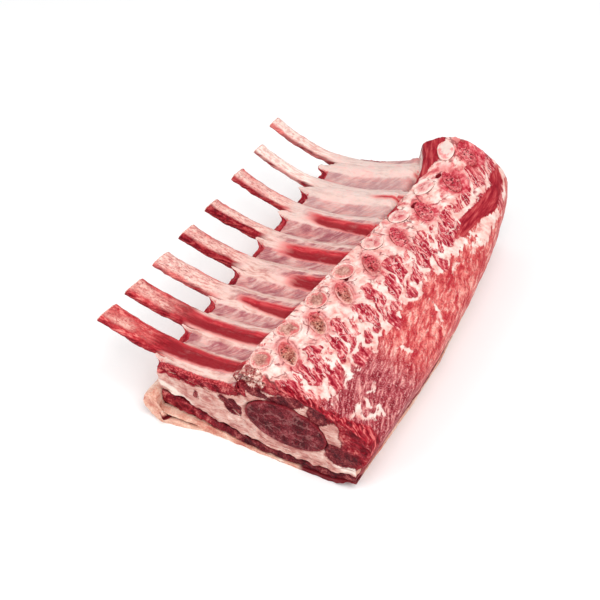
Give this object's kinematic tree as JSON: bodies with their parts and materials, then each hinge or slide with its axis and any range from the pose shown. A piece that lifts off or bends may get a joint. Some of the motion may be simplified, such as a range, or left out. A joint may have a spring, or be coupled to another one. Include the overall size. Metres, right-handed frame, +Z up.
{
  "type": "raw rack of lamb",
  "caption": "Raw rack of lamb lying on its fat side, with bare frenched rib bones, a sawn backbone face and layers of fat and lean showing at the cut end.",
  "frame": {"origin": "centre of the footprint on the flat underside of the outer fat, where the rack rests", "axes": "+X along the backbone from the shoulder end to the loin end, +Y towards the bare rib tips, +Z up from the surface it rests on"},
  "size_m": [0.2172, 0.1734, 0.0753],
  "materials": {
    "lean_meat": "moist raw lamb with white fat and silverskin, slightly glossy",
    "eye_meat": "dark purple-red cut muscle with fine marbling, moist",
    "seam_fat": "pink-cream fat, satin",
    "cap_meat": "dark red ragged cut muscle, moist",
    "outer_fat": "peach-cream outer fat, satin",
    "rib_bone": "scraped bone with thin red and pink membrane, satin",
    "marrow_bone": "sawn porous bone with red marrow, rough"
  },
  "bodies": {
    "root": {"lean_body": "lean_meat", "eye_muscle": "eye_meat", "seam_fat": "seam_fat", "cap_muscle": "cap_meat", "fat_cap": "outer_fat", "rib_1": "rib_bone", "rib_2": "rib_bone", "rib_3": "rib_bone", "rib_4": "rib_bone", "rib_5": "rib_bone", "rib_6": "rib_bone", "rib_7": "rib_bone", "rib_8": "rib_bone", "vertebra_1": "marrow_bone", "vertebra_2": "marrow_bone", "vertebra_3": "marrow_bone", "vertebra_4": "marrow_bone", "vertebra_5": "marrow_bone", "vertebra_6": "marrow_bone", "vertebra_7": "marrow_bone", "vertebra_8": "marrow_bone"}
  },
  "joints": []
}
